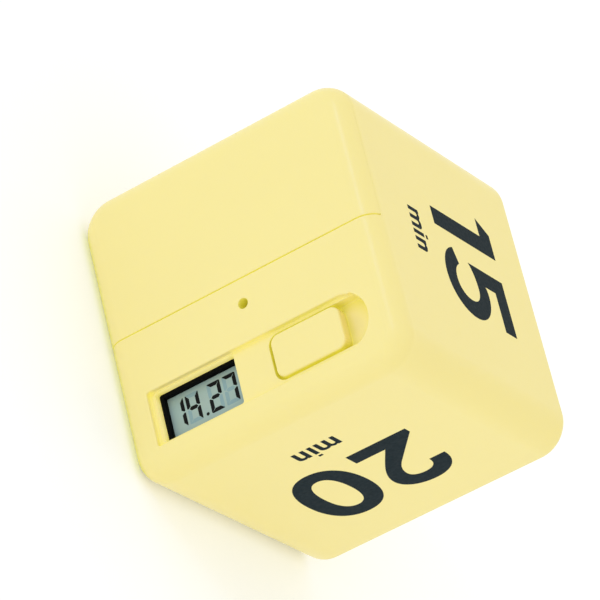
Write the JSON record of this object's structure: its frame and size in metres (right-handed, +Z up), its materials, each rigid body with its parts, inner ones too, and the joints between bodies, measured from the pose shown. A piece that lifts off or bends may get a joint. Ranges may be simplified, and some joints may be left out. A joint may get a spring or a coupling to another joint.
{
  "type": "flip timer",
  "caption": "Cube-shaped countdown timer with a display, a sliding switch and a slide-off battery cover; turning it over picks the minutes.",
  "frame": {"origin": "middle of the underside, at the level that the cube stands on", "axes": "+Z up, -Y out of the face with the display, +X towards the side beside the display"},
  "size_m": [0.066, 0.066, 0.066],
  "materials": {
    "case": "pale yellow moulded plastic, satin",
    "white_moulding": "white moulded plastic, satin",
    "black_moulding": "black moulded plastic, satin",
    "gasket": "black foam rubber, matte",
    "connector_rubber": "grey silicone with dark conducting layers",
    "display": "grey-green reflective display glass",
    "board": "green solder mask, semi-gloss",
    "epoxy": "black epoxy, glossy",
    "pressed_steel": "tinned pressed steel",
    "screw_steel": "zinc-plated steel",
    "contact_nickel": "nickel-plated spring steel",
    "cell_jacket": "satin dark jacket with bare metal ends",
    "red_insulation": "red flexible insulation",
    "black_insulation": "black flexible insulation"
  },
  "bodies": {
    "case": {"main_shell": "case", "front_panel": "case", "switch_can": "pressed_steel", "switch_base": "black_moulding", "lcd_gasket": "gasket", "lcd_panel": "display", "lcd_frame": "white_moulding", "zebra_strip": "connector_rubber", "main_pcb": "board", "chip_blob": "epoxy", "crystal": "pressed_steel", "capacitor": "black_moulding", "resistor_1": "black_moulding", "resistor_2": "black_moulding", "resistor_3": "black_moulding", "buzzer": "black_moulding", "tilt_sensor_case": "black_moulding", "tilt_sensor_cap": "black_moulding", "pcb_screw_1": "screw_steel", "pcb_screw_2": "screw_steel", "pcb_screw_3": "screw_steel", "case_screw_1": "screw_steel", "case_screw_2": "screw_steel", "battery_cell_1": "cell_jacket", "battery_cell_2": "cell_jacket", "bridge_plate": "contact_nickel", "bridge_spring": "contact_nickel", "positive_plate": "contact_nickel", "negative_plate": "contact_nickel", "negative_spring": "contact_nickel", "battery_wire_red": "red_insulation", "battery_wire_black": "black_insulation"},
    "knob": {"switch_knob": "case", "switch_lever": "black_moulding"},
    "cover": {"battery_cover": "case"},
    "ball": {"tilt_ball": "pressed_steel"}
  },
  "joints": [
    {"name": "switch_slide", "type": "slide", "parent": "case", "child": "knob", "axis": [0, 0, 1], "range_m": [0, 0.004]},
    {"name": "cover_slide", "type": "slide", "parent": "case", "child": "cover", "axis": [-1, 0, 0], "range_m": [0, 0.036]},
    {"name": "ball_roll", "type": "slide", "parent": "case", "child": "ball", "axis": [0, 0, 1], "range_m": [0, 0.0022]}
  ]
}
